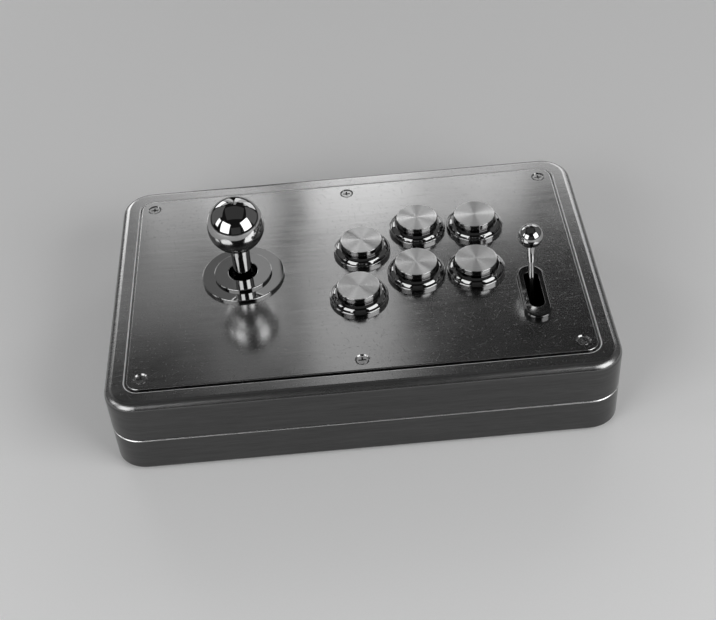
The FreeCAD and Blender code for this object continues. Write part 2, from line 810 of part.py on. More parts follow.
def make_lever_housing():
    """The stick's moulded body: a flanged cup with two trunnion seats, hung on the panel's studs."""
    cup_floor = s.housing_depth - s.housing_floor
    inside = s.housing_width - s.housing_wall * 2
    piece = Piece("lever_housing", stick_x, s.stick_y, panel_under)
    flange = piece.draw().rectangle(0, 0, s.flange_width, s.housing_width, s.housing_corner)
    piece.pad(flange, s.flange_thickness, down=True)
    cup = piece.draw().rectangle(0, 0, s.housing_width, s.housing_width, s.housing_corner)
    piece.pad(cup, s.housing_depth, down=True)
    hollow = piece.draw().rectangle(0, 0, inside, inside, s.housing_corner - s.housing_wall)
    piece.pocket(hollow, cup_floor)
    seat_inner = s.gimbal_diameter / 2 + s.gimbal_side_gap
    seat_outer = s.housing_width / 2 - s.housing_wall / 2
    seats = piece.draw(gimbal_drop - s.trunnion_boss / 2)
    for side in (-1, 1):
        seats.rectangle((seat_inner + seat_outer) / 2 * side, 0, seat_outer - seat_inner,
                        s.trunnion_boss)
    piece.pad(seats, s.trunnion_boss)
    trunnion_bore = s.pin_diameter / 2 + s.pin_running_gap
    piece.bore_through(piece.draw(plane="YZ_Plane").circle(0, gimbal_drop, trunnion_bore))
    neck = piece.draw(-cup_floor).circle(0, 0, s.grommet_neck / 2)
    piece.pocket(neck, s.housing_floor)
    gate_threads = circles(piece.draw(-s.housing_depth), gate_screw_spots, small_thread_bore)
    piece.pocket(gate_threads, s.gate_screw_bite + s.thread_gap, up=True)
    stud_holes = circles(piece.draw(), stud_spots, s.screw_passage / 2)
    piece.pocket(stud_holes, s.flange_thickness)
    keep(piece)


def make_stud_nuts():
    """Nuts on the panel's studs, under the stick's flange and the selector's bracket."""
    nut = Piece("stud_nut_pattern")
    profile = nut.draw().hexagon(s.nut_across_flats)
    profile.circle(0, 0, thread_bore)
    nut.pad(profile, s.nut_height, down=True)
    spots = [(stick_x + x, s.stick_y + y, panel_under - s.flange_thickness) for x, y in stud_spots]
    spots += [(selector_x + x, s.selector_y + y, panel_under - s.bracket_thickness)
              for x, y in bracket_stud_spots]
    keep(group("stud_nuts", nut.body, spots))


def make_grommet():
    """The rubber ring that brings the lever back upright, clipped in the housing's floor."""
    top = s.housing_floor - s.housing_depth
    neck = s.grommet_neck / 2 - s.grommet_gap
    flange = s.grommet_flange / 2
    bore = s.shaft_diameter / 2 + s.grommet_gap
    ring = Piece("centring_grommet", stick_x, s.stick_y, panel_under)
    ring.turned([(bore, top + s.grommet_flange_thickness), (bore, -bottom_of_grommet),
                 (flange, -bottom_of_grommet), (flange, -s.housing_depth), (neck, -s.housing_depth),
                 (neck, top), (flange, top), (flange, top + s.grommet_flange_thickness)])
    keep(ring)


def make_gate_and_sensor():
    """The square restrictor gate, and under it the sensor board that reads the magnet."""
    gate_top = -(s.housing_depth + s.gate_drop)
    gate = Piece("restrictor_gate", stick_x, s.stick_y, panel_under)
    plate = gate.draw(gate_top).rectangle(0, 0, s.gate_size, s.gate_size, s.housing_corner)
    gate.pad(plate, s.gate_thickness, down=True)
    posts = circles(gate.draw(-s.housing_depth), gate_screw_spots, s.gate_post / 2)
    gate.pad(posts, s.gate_drop + s.gate_thickness + s.sensor_drop, down=True)
    opening = s.shaft_diameter + s.gate_travel * 2
    square = gate.draw(gate_top).rectangle(0, 0, opening, opening, s.gate_thickness / 2)
    gate.pocket(square, s.gate_thickness)
    passages = circles(gate.draw(-s.housing_depth), gate_screw_spots, s.small_screw_passage / 2)
    gate.pocket(passages, s.gate_drop + s.gate_thickness + s.sensor_drop)
    keep(gate)

    board = Piece("sensor_board", stick_x, s.stick_y, panel_under)
    board_face = -sensor_depth
    outline = board.draw(board_face).rectangle(0, 0, s.gate_size, s.gate_size, s.housing_corner)
    circles(outline, gate_screw_spots, s.small_screw_passage / 2)
    board.pad(outline, s.board_thickness, down=True)
    chip = board.draw(board_face - s.board_thickness / 2).rectangle(
        0, 0, s.chip_width / 2, s.chip_width / 2)
    board.pad(chip, s.chip_height + s.board_thickness / 2, down=True)
    plug_block = board.draw(board_face - s.board_thickness / 2).rectangle(
        0, s.gate_screw_offset, s.header_length / 2, s.header_width)
    board.pad(plug_block, s.header_height + s.board_thickness / 2, down=True)
    keep(board)

    seat = panel_under + board_face - s.board_thickness
    length = s.board_thickness + s.sensor_drop + s.gate_thickness + s.gate_drop + s.gate_screw_bite
    screw = small_screw("gate_screw_pattern", length)
    spots = [(stick_x + x, s.stick_y + y, seat) for x, y in gate_screw_spots]
    keep(group("gate_screws", screw.body, spots))


def small_screw(label, length, head_up=False):
    """A small pan-head screw whose seat is at its own zero height."""
    side = 1 if head_up else -1
    head = s.small_head_diameter / 2
    shank = s.small_screw_diameter / 2
    screw = Piece(label)
    top = s.small_head_height * side
    tip = length * -side
    screw.turned([(0, top), (head, top, s.small_head_height / 3), (head, 0), (shank, 0), (shank, tip),
                  (0, tip)])
    cross = screw.draw(top).rectangle(0, 0, s.slot_length, s.cross_width)
    screw.pocket(cross, s.cross_depth, up=not head_up)
    return screw


def make_gimbal():
    """The ring that swings to and fro on two trunnion pins and carries the lever's cross pin."""
    pin = s.pin_diameter / 2
    inner = s.gimbal_bore / 2
    outer = s.gimbal_diameter / 2
    half = s.gimbal_height / 2
    ring = Piece("gimbal_ring", stick_x, s.stick_y, stick_pivot)
    ring.turned([(inner, -half), (outer, -half, s.gimbal_round), (outer, half, s.gimbal_round),
                 (inner, half)])
    ring.bore_through(ring.draw(plane="XZ_Plane").circle(0, 0, pin + s.pin_running_gap))
    ring.bore_through(ring.draw(plane="YZ_Plane").circle(0, 0, pin + s.pin_press_gap))
    keep(ring)
    reach = outer + s.gimbal_side_gap + s.trunnion_seat - s.trunnion_inner
    pattern_pin = cylinder(pin, reach, axis=(1, 0, 0))
    right = (stick_x + s.trunnion_inner, s.stick_y, stick_pivot)
    left = (stick_x - s.trunnion_inner - reach, s.stick_y, stick_pivot)
    keep(group("trunnion_pins", pattern_pin, [right, left]))


def make_lever():
    """The lever: steel shaft with its hub and cross pin, tapered sleeve, ball and magnet."""
    pin = s.pin_diameter / 2
    shaft_radius = s.shaft_diameter / 2
    hub = s.hub_diameter / 2
    shoulder = sleeve_top
    thread = s.shaft_thread / 2
    tip = shoulder + s.shaft_thread_length
    shaft = Piece("lever_shaft", stick_x, s.stick_y, stick_pivot)
    shaft.turned([(0, -shaft_tail), (shaft_radius, -shaft_tail), (shaft_radius, -s.hub_length / 2),
                  (hub, -s.hub_length / 2), (hub, s.hub_length / 2), (shaft_radius, s.hub_length / 2),
                  (shaft_radius, shoulder), (thread, shoulder), (thread, tip), (0, tip)])
    shaft.bore_through(shaft.draw(plane="XZ_Plane").circle(0, 0, pin + s.pin_press_gap))
    keep(shaft)

    reach = s.gimbal_diameter / 2 - s.pin_end_set_back
    cross_pin = cylinder(pin, reach * 2, stick_x, s.stick_y - reach, stick_pivot, axis=(0, 1, 0))
    cross_pin.Label = "cross_pin"
    keep(cross_pin)

    sleeve_bore = shaft_radius + s.sleeve_fit
    sleeve = Piece("shaft_sleeve", stick_x, s.stick_y, stick_pivot)
    sleeve.turned([(sleeve_bore, s.hub_length / 2), (s.sleeve_low_diameter / 2, s.hub_length / 2),
                   (s.sleeve_top_diameter / 2, sleeve_top), (sleeve_bore, sleeve_top)])
    keep(sleeve)

    ball = primitive("Sphere", Radius=s.ball_diameter / 2)
    socket = cylinder(s.sleeve_top_diameter / 2 + s.sleeve_fit, s.ball_diameter / 2 - ball_socket)
    place(socket, 0, 0, -s.ball_diameter / 2)
    thread_hole = cylinder(thread + s.sleeve_fit, s.ball_diameter / 2 + tip - ball_centre)
    place(thread_hole, 0, 0, -s.ball_diameter / 2)
    ball_top = cut(ball, fuse(socket, thread_hole), "ball_top")
    place(ball_top, stick_x, s.stick_y, stick_pivot + ball_centre)
    keep(ball_top)

    magnet = cylinder(s.magnet_diameter / 2, s.magnet_height, stick_x, s.stick_y,
                      stick_pivot - shaft_tail - s.magnet_height)
    magnet.Label = "magnet"
    keep(magnet)


# Buttons


def make_buttons():
    for number, (x, y) in enumerate(button_spots, start=1):
        make_button_housing(number, x, y)
        make_button_cap(number, x, y)
        make_button_switch(number, x, y)
    nut = Piece("button_nut_pattern")
    bore = s.barrel_diameter / 2 + s.thread_gap / 2
    rim = bore + s.button_nut_wall
    nut.turned([(bore, -s.button_nut_height), (rim, -s.button_nut_height, s.button_nut_round),
                (rim, 0), (bore, 0)])
    keep(group("button_nuts", nut.body, [(x, y, panel_under) for x, y in button_spots]))


def make_button_housing(number, x, y):
    """The two-tier bezel with its threaded barrel, a stop step inside and a floor for the switch."""
    flange = s.bezel_diameter / 2
    foot = flange - s.bezel_step
    shoulder = foot - s.bezel_shoulder_inset
    guide = s.cap_diameter / 2 + s.cap_gap
    lip = guide + s.bezel_lip
    pocket = cap_stop_radius + s.cap_gap
    barrel = s.barrel_diameter / 2
    window = s.terminal_window / 2
    step = s.cap_gap - s.cap_stop_depth
    floor = s.barrel_floor - s.barrel_depth
    housing = Piece(f"button_housing_{number}", x, y, panel_top)
    housing.turned([(guide, s.bezel_height), (lip, s.bezel_height, s.bezel_lip_round),
                    (shoulder, s.bezel_shoulder, s.bezel_shoulder_round), (foot, s.bezel_flange),
                    (flange, s.bezel_flange, s.bezel_flange_round), (flange, 0), (barrel, 0),
                    (barrel, -s.barrel_depth), (window, -s.barrel_depth), (window, floor),
                    (pocket, floor), (pocket, step), (guide, step)])
    keep(housing)


def make_button_cap(number, x, y):
    """The hollow cap, with the rim that stops it and the stem that presses the switch plunger."""
    outer = s.cap_diameter / 2
    inner = outer - s.cap_skirt
    stem = s.plunger_diameter / 2
    under = s.cap_height - s.cap_top
    rim_foot = s.cap_stop_depth + s.cap_stop_height
    cap = Piece(f"button_cap_{number}", x, y, panel_top)
    cap.turned([(0, s.cap_height), (outer, s.cap_height, s.cap_edge_round), (outer, -s.cap_stop_depth),
                (cap_stop_radius, -s.cap_stop_depth), (cap_stop_radius, -rim_foot),
                (inner, -rim_foot), (inner, under), (stem, under), (stem, -s.plunger_top_depth),
                (0, -s.plunger_top_depth)])
    keep(cap)
    plunger = cylinder(stem, s.plunger_length, x, y,
                       panel_top - s.plunger_top_depth - s.plunger_length)
    plunger.Label = f"switch_plunger_{number}"
    keep(plunger)


def make_button_switch(number, x, y):
    """The switch under the cap: a square body with a plunger bore and two solder tabs."""
    switch = Piece(f"button_switch_{number}", x, y, panel_top - s.barrel_depth + s.barrel_floor)
    body = switch.draw().rectangle(0, 0, s.switch_width, s.switch_width, s.cap_edge_round)
    switch.pad(body, s.switch_height)
    tabs = switch.draw(s.terminal_thickness)
    for side in (-1, 1):
        tabs.rectangle(s.terminal_spread * side, 0, s.terminal_thickness, s.terminal_width)
    switch.pad(tabs, s.terminal_length + s.terminal_thickness, down=True)
    bore = switch.draw(s.switch_height).circle(0, 0, s.plunger_diameter / 2 + s.plunger_gap)
    switch.pocket(bore, s.switch_bore_depth)
    keep(switch)


# Selector lever


def make_escutcheon():
    """The raised oval plate round the selector's slot: a spigot below, an index dimple in front."""
    piece = Piece("selector_escutcheon", selector_x, s.selector_y, panel_top)
    outside = piece.draw().slot(0, -s.escutcheon_shift, s.escutcheon_length, s.escutcheon_width)
    piece.pad(outside, s.escutcheon_height)
    top = s.escutcheon_height.value
    piece.round(lambda box: box.ZMin > top - EDGE_TOLERANCE, s.escutcheon_round)
    spigot = piece.draw(s.escutcheon_height / 2).slot(0, 0, spigot_length, spigot_width)
    piece.pad(spigot, s.escutcheon_height / 2 + s.panel_thickness, down=True)
    opening = piece.draw(s.escutcheon_height).slot(0, 0, s.selector_slot_length, s.selector_slot_width)
    piece.pocket(opening, s.escutcheon_height + s.panel_thickness)
    half_slot = s.selector_slot_width.value / 2
    piece.round(lambda box: box.ZMin > top - EDGE_TOLERANCE and box.XMax < half_slot + EDGE_TOLERANCE
                and box.XMin > -half_slot - EDGE_TOLERANCE, s.escutcheon_slot_round)
    dimple_y = -(s.selector_slot_length / 2 + s.dimple_margin)
    dimple = piece.draw(s.escutcheon_height).circle(0, dimple_y, s.dimple_diameter / 2)
    piece.pocket(dimple, s.dimple_depth)
    keep(piece)


def make_selector_bracket():
    """The bent bracket under the panel whose two legs hold the selector's pivot."""
    window = s.screw_diameter + s.selector_slot_width
    length = bracket_reach * 2 + s.screw_passage * 2
    piece = Piece("selector_bracket", selector_x, s.selector_y, panel_under)
    plate = piece.draw().rectangle(0, 0, s.bracket_width, length, s.bracket_thickness)
    piece.pad(plate, s.bracket_thickness, down=True)
    legs = piece.draw()
    for side in (-1, 1):
        legs.rectangle(s.bracket_leg_offset * side, 0, s.bracket_thickness, s.bracket_leg_width)
    piece.pad(legs, bracket_pivot + s.bracket_leg_tail, down=True)
    slot = piece.draw().slot(0, 0, s.selector_slot_length + s.screw_diameter, window)
    piece.pocket(slot, s.bracket_thickness)
    stud_holes = circles(piece.draw(), bracket_stud_spots, s.screw_passage / 2)
    piece.pocket(stud_holes, s.bracket_thickness)
    pivot_bore = s.pivot_shaft_diameter / 2 + s.pin_running_gap
    piece.bore_through(piece.draw(plane="YZ_Plane").circle(0, -bracket_pivot, pivot_bore))
    keep(piece)


def make_selector_switch():
    """The rotary switch on the outside of the bracket's right leg."""
    face = s.bracket_leg_offset + s.bracket_thickness / 2
    size = s.selector_switch_size
    piece = Piece("selector_switch", selector_x, s.selector_y, selector_pivot)
    body = piece.draw(face, "YZ_Plane").rectangle(0, 0, size, size, s.board_corner)
    piece.pad(body, s.selector_switch_thickness)
    bore = s.pivot_shaft_diameter / 2 + s.pin_running_gap
    piece.bore_through(piece.draw(plane="YZ_Plane").circle(0, 0, bore))
    tabs = piece.draw(-size / 2 + s.terminal_thickness)
    for place_along in (-1, 0, 1):
        tabs.rectangle(face + s.selector_switch_thickness / 2, s.terminal_width * 2 * place_along,
                       s.terminal_thickness, s.terminal_width)
    piece.pad(tabs, s.terminal_length, down=True)
    keep(piece)


def make_selector_lever():
    """The lever that leans back in its slot: ball knob with a tapered neck, thin stem and pivot."""
    stem_radius = s.stem_diameter / 2
    neck_top = s.knob_reach - s.knob_diameter / 2 + s.knob_neck_bury
    neck_foot = neck_top - s.knob_neck_length
    stem_tip = neck_foot + s.stem_socket

    ball = primitive("Sphere", Radius=s.knob_diameter / 2)
    place(ball, 0, 0, s.knob_reach)
    neck = primitive("Cone", Radius1=s.knob_neck_foot / 2, Radius2=s.knob_neck_diameter / 2,
                     Height=s.knob_neck_length)
    place(neck, 0, 0, neck_foot)
    socket = cylinder(stem_radius + s.pin_press_gap, s.stem_socket, 0, 0, neck_foot)
    knob = cut(fuse(ball, neck), socket, "selector_knob")

    stem = cylinder(stem_radius, stem_tip)
    stem.Label = "selector_stem"

    hub_half = s.pivot_hub_width / 2
    shaft_start = s.bracket_leg_offset + s.bracket_thickness
    hub = cylinder(s.pivot_hub_diameter / 2, s.pivot_hub_width, -hub_half, axis=(1, 0, 0))
    shaft = cylinder(s.pivot_shaft_diameter / 2, shaft_start + s.pivot_shaft_reach, -shaft_start,
                     axis=(1, 0, 0))
    stem_hole = cylinder(stem_radius + s.pin_press_gap, s.pivot_hub_diameter)
    pivot = cut(fuse(hub, shaft), stem_hole, "selector_pivot")

    for thing in (knob, stem, pivot):
        lean(thing, s.selector_lean)
        place(thing, selector_x, s.selector_y, selector_pivot)
        keep(thing)


# Electronics


def make_main_board():
    """The controller board on the tray's posts, with its chip, wiring header and rear socket."""
    board = Piece("main_board", s.board_x, board_y, board_under)
    outline = board.draw().rectangle(0, 0, s.board_width, s.board_depth, s.board_corner)
    circles(outline, board_screw_spots, s.small_screw_passage / 2)
    board.pad(outline, s.board_thickness)
    chip = board.draw(s.board_thickness / 2).rectangle(0, 0, s.chip_width, s.chip_width)
    board.pad(chip, s.chip_height + s.board_thickness / 2)
    header = board.draw(s.board_thickness / 2).rectangle(
        0, s.header_width - s.board_depth / 2, s.header_length, s.header_width)
    board.pad(header, s.header_height + s.board_thickness / 2)
    keep(board)

    screw = small_screw("board_screw_pattern", s.board_screw_length + s.board_thickness - s.thread_gap,
                        head_up=True)
    spots = [(s.board_x + x, board_y + y, board_top) for x, y in board_screw_spots]
    keep(group("board_screws", screw.body, spots))


def make_socket():
    """The cable socket: a thin metal shell with a contact tongue, at the board's back edge."""
    mouth = board_y + s.board_depth / 2 + s.socket_overhang
    piece = Piece("usb_socket", s.board_x, mouth, socket_middle)
    shell = piece.draw(plane="XZ_Plane").slot(0, 0, s.socket_width, s.socket_height, "x")
    piece.pad(shell, s.socket_depth)
    inside_width = s.socket_width - s.socket_wall * 2
    inside_height = s.socket_height - s.socket_wall * 2
    pit = piece.draw(plane="XZ_Plane").slot(0, 0, inside_width, inside_height, "x")
    piece.pocket(pit, s.socket_pit, up=True)
    tongue = piece.draw(s.socket_wall * 2, "XZ_Plane").rectangle(
        0, 0, s.tongue_width, s.tongue_thickness)
    piece.pad(tongue, s.socket_pit)
    keep(piece)


# Shared places that several sub-parts line up with

spigot_length = s.selector_slot_length + s.spigot_wall * 2
spigot_width = s.selector_slot_width + s.spigot_wall * 2
bracket_reach = s.selector_slot_length / 2 + s.bracket_margin - s.screw_diameter
bracket_stud_spots = [(0, -bracket_reach), (0, bracket_reach)]
bracket_pivot = s.selector_pivot_depth - s.panel_thickness
selector_pivot = panel_top - s.selector_pivot_depth
stick_pivot = panel_top - s.pivot_depth
gimbal_drop = s.panel_thickness - s.pivot_depth
ball_centre = s.ball_height + s.pivot_depth
ball_socket = s.ball_diameter / 2 - s.sleeve_socket
sleeve_top = ball_centre - ball_socket
bottom_of_grommet = s.housing_depth + s.grommet_flange_thickness
sensor_depth = s.housing_depth + s.gate_drop + s.gate_thickness + s.sensor_drop
shaft_tail = sensor_depth + gimbal_drop - s.magnet_height - s.magnet_gap
cap_stop_radius = s.cap_diameter / 2 + s.cap_stop_overhang


def check_document():
    """Stop if a feature failed, a cut removed nothing or a sub-part isn't sound."""
    doc.recompute()
    for thing in doc.Objects:
        if "Invalid" in thing.State or "Error" in thing.State:
            raise RuntimeError(f"{thing.Name} failed: {thing.State}")
        if thing.TypeId in ("PartDesign::Pocket", "PartDesign::Hole"):
            if thing.Shape.Volume > thing.BaseFeature.Shape.Volume - LEAST_CUT:
                raise RuntimeError(f"{thing.Name} in {thing.getParentGeoFeatureGroup().Label} cuts nothing")
    for node in nodes:
        if node.Shape.isNull() or not node.Shape.isValid() or not node.Shape.Solids:
            raise RuntimeError(f"{node.Label} has no sound shape")


def write_parts():
    os.makedirs("parts", exist_ok=True)
    for node in nodes:
        node.Shape.exportStep(os.path.join("parts", f"{node.Label}.step"))


make_upper_case()
make_lower_case()
make_control_panel()
make_panel_screws()
make_case_screws()
make_feet()
make_collar()
make_lever_housing()
make_stud_nuts()
make_grommet()
make_gate_and_sensor()
make_gimbal()
make_lever()
make_buttons()
make_escutcheon()
make_selector_bracket()
make_selector_switch()
make_selector_lever()
make_main_board()
make_socket()
check_document()
write_parts()
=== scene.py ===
import math

import bpy
from mathutils import Matrix, Quaternion, Vector


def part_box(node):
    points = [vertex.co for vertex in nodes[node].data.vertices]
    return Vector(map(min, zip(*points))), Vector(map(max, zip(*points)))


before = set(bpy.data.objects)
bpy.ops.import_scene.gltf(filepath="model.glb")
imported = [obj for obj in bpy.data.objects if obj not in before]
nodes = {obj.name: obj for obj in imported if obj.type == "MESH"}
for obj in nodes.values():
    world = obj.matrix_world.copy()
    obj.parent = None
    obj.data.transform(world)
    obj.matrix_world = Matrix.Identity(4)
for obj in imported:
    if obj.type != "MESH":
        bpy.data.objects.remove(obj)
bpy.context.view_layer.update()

# An arcade stick in satin and polished metal: every solid keeps its shape and gets its finish here.
# Metres, +Z up, +X to the player's right, +Y away from the player.


# Building materials


class Recipe:
    """A material under construction: nodes are added one at a time and fed with values or links."""

    def __init__(self, name, color, roughness, metallic=0.0):
        self.material = bpy.data.materials.new(name)
        self.material.use_nodes = True
        self.tree = self.material.node_tree
        self.shader = self.tree.nodes["Principled BSDF"]
        self.set("Base Color", tone(color))
        self.set("Roughness", roughness)
        self.set("Metallic", metallic)

    def set(self, socket, value):
        """Give one of the shader's sockets a value or a link."""
        self.feed(self.shader.inputs[socket], value)

    def feed(self, socket, value):
        """Link a socket to another one, or set its value."""
        if isinstance(value, bpy.types.NodeSocket):
            self.tree.links.new(value, socket)
        else:
            socket.default_value = value

    def add(self, kind, inputs, **settings):
        node = self.tree.nodes.new(kind)
        for name, value in settings.items():
            setattr(node, name, value)
        for key, value in inputs.items():
            self.feed(node.inputs[key], value)
        return node

    def math(self, operation, *values):
        inputs = dict(enumerate(values))
        return self.add("ShaderNodeMath", inputs, operation=operation).outputs[0]

    def vector(self, operation, *values):
        inputs = dict(enumerate(values))
        node = self.add("ShaderNodeVectorMath", inputs, operation=operation)
        return node.outputs["Value" if operation in ("LENGTH", "DOT_PRODUCT") else "Vector"]

    def place(self, kind="Object"):
        """Where a point of the surface is: metres for Object, 0 to 1 across the piece for Generated."""
        return self.add("ShaderNodeTexCoord", {}).outputs[kind]

    def normal(self):
        return self.add("ShaderNodeNewGeometry", {}).outputs["True Normal"]

    def split(self, vector):
        node = self.add("ShaderNodeSeparateXYZ", {0: vector})
        return [node.outputs[axis] for axis in "XYZ"]

    def stretch(self, vector, scale, shift=(0.0, 0.0, 0.0)):
        inputs = {"Vector": vector, "Scale": scale, "Location": shift}
        return self.add("ShaderNodeMapping", inputs).outputs[0]

    def noise(self, vector, scale=1.0, detail=3.0, roughness=0.5):
        inputs = {"Vector": vector, "Scale": scale, "Detail": detail, "Roughness": roughness}
        return self.add("ShaderNodeTexNoise", inputs).outputs["Fac"]

    def fit(self, value, low, high, to_low=0.0, to_high=1.0):
        """Map a range to another one, and stop at its ends."""
        inputs = {"Value": value, "From Min": low, "From Max": high, "To Min": to_low, "To Max": to_high}
        return self.add("ShaderNodeMapRange", inputs).outputs[0]

    def shades(self, factor, dark, light):
        """A colour between two greys or colours."""
        node = self.add("ShaderNodeMix", {0: factor}, data_type="RGBA")
        self.feed(node.inputs[6], tone(dark))
        self.feed(node.inputs[7], tone(light))
        return node.outputs[2]

    def between(self, factor, first, second):
        """A number between two others."""
        node = self.add("ShaderNodeMix", {0: factor, 2: first, 3: second}, data_type="FLOAT")
        return node.outputs[0]

    def bump(self, height, depth):
        """Turn a 0 to 1 height into a surface relief of that depth."""
        inputs = {"Height": height, "Distance": depth, "Strength": 1.0}
        self.set("Normal", self.add("ShaderNodeBump", inputs).outputs[0])

    def warp(self, vector, scale, amount):
        """Push a place to and fro by a slow noise, so that straight lines drawn there come out bent."""
        inputs = {"Vector": vector, "Scale": scale, "Detail": 1.0}
        drift = self.add("ShaderNodeTexNoise", inputs).outputs["Color"]
        push = self.vector("MULTIPLY", self.vector("SUBTRACT", drift, (0.5, 0.5, 0.5)), (amount,) * 3)
        return self.vector("ADD", vector, push)

    def scratches(self, vector, spacing, length, width, share, shift=(0.0, 0.0, 0.0)):
        """Hairlines, at most one to a cell, each with its own direction and length; 1 on a line."""
        spots = self.stretch(vector, (1 / spacing,) * 3, shift)
        cell = self.add("ShaderNodeTexVoronoi", {"Vector": spots, "Scale": 1.0}, voronoi_dimensions="2D")
        offset = self.vector("SUBTRACT", spots, cell.outputs["Position"])
        along, across, _ = self.split(offset)
        pick = self.add("ShaderNodeSeparateColor", {0: cell.outputs["Color"]})
        angle = self.math("MULTIPLY", pick.outputs[0], math.tau)
        cosine = self.math("COSINE", angle)
        sine = self.math("SINE", angle)
        run = self.math("ADD", self.math("MULTIPLY", along, cosine), self.math("MULTIPLY", across, sine))
        side = self.math("SUBTRACT", self.math("MULTIPLY", across, cosine),
                         self.math("MULTIPLY", along, sine))
        reach = self.math("MULTIPLY", pick.outputs[1], length / spacing / 2)
        within = self.math("LESS_THAN", self.math("ABSOLUTE", run), reach)
        line = self.fit(self.math("ABSOLUTE", side), 0.0, width / spacing, 1.0, 0.0)
        kept = self.math("LESS_THAN", pick.outputs[2], share)
        return self.math("MULTIPLY", self.math("MULTIPLY", line, within), kept)


def grey(level):
    return (level, level, level, 1.0)


def tone(value):
    """A grey for a number; a colour or a link as it is."""
    return grey(value) if isinstance(value, float) else value


# Finishes

# The span that the noise of the brushing fills, and that of a soft cloud of haze
GRAIN_SPAN = (0.35, 0.65)
CLOUD_SPAN = (0.3, 0.7)
# Satin steel: how far haze swings its roughness, what a mark of use adds to it, and a mark's tone and cover
HAZE_SWING = (-0.02, 0.03)
MARK_ROUGHNESS = 0.16
MARK_TONE = 0.20
MARK_COVER = 0.9
# Heights of the surface relief, in metres
SATIN_RELIEF = 0.000001
POLISH_RELIEF = 0.000002
TURNED_RELIEF = 0.00002
TRACK_RELIEF = 0.00004


def brushed(r, place, across):
    """Coarse and fine strokes together; the strokes lie across one axis, 0 to 2 for x to z."""
    coarse = [18.0] * 3
    fine = [70.0] * 3
    coarse[across] = 420.0
    fine[across] = 2400.0
    strokes = r.noise(r.stretch(place, coarse), detail=3.0, roughness=0.6)
    hairs = r.noise(r.stretch(place, fine), detail=3.0, roughness=0.6)
    return r.math("ADD", r.math("MULTIPLY", strokes, 0.4), r.math("MULTIPLY", hairs, 0.6))


def use_marks(r, place):
    """The marks of use on the panel and rim: many small flecks and fewer bent hairs; 1 on a mark."""
    bent = r.warp(place, scale=130.0, amount=0.003)
    flecks = r.scratches(place, spacing=0.0034, length=0.0018, width=0.00021, share=0.6)
    hairs = r.scratches(bent, spacing=0.008, length=0.007, width=0.00011, share=0.5, shift=(3.7, 1.2, 0.0))
    return r.math("MAXIMUM", flecks, hairs)


def mark(r, clean, worn):
    """The clean tone with the marks of use over it."""
    return r.shades(r.math("MULTIPLY", worn, MARK_COVER), clean, MARK_TONE)


def carve(r, grain, worn):
    """Raise the strokes of the brushing a little and sink the marks of use."""
    r.bump(r.math("SUBTRACT", r.math("MULTIPLY", grain, 0.6), worn), SATIN_RELIEF)


def satin_panel():
    """Steel brushed from side to side, hazed by use and crossed by fine scratches; the walls of its holes
    get a darker painted shade.
    """
    r = Recipe("panel_satin", 0.55, 0.20, metallic=1.0)
    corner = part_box("control_panel")[1]
    edge_band = 0.002
    hole_shade_tone = 0.34
    place = r.place()
    grain = brushed(r, place, across=1)
    haze = r.noise(place, scale=16.0, detail=5.0, roughness=0.6)
    worn = use_marks(r, place)
    x, y, _ = r.split(place)
    at_side = r.math("GREATER_THAN", r.math("ABSOLUTE", x), corner[0] - edge_band)
    at_end = r.math("GREATER_THAN", r.math("ABSOLUTE", y), corner[1] - edge_band)
    inside = r.math("SUBTRACT", 1.0, r.math("MAXIMUM", at_side, at_end))
    # Painted shade: tilted faces inside the panel's outer band, the walls of holes and countersinks, take a
    # darker tone.
    hole_shade = r.math("MULTIPLY", r.fit(r.split(r.normal())[2], 0.98, 0.85), inside)
    clean = r.shades(r.fit(grain, *GRAIN_SPAN), 0.50, 0.58)
    r.set("Base Color", r.shades(hole_shade, mark(r, clean, worn), hole_shade_tone))
    polish = r.math("ADD", r.fit(grain, *GRAIN_SPAN, 0.14, 0.175), r.fit(haze, *CLOUD_SPAN, *HAZE_SWING))
    r.set("Roughness", r.math("ADD", polish, r.math("MULTIPLY", worn, MARK_ROUGHNESS)))
    r.set("Anisotropic", 0.3)
    r.set("Tangent", r.add("ShaderNodeCombineXYZ", {1: 1.0}).outputs[0])
    carve(r, grain, worn)
    return r.material


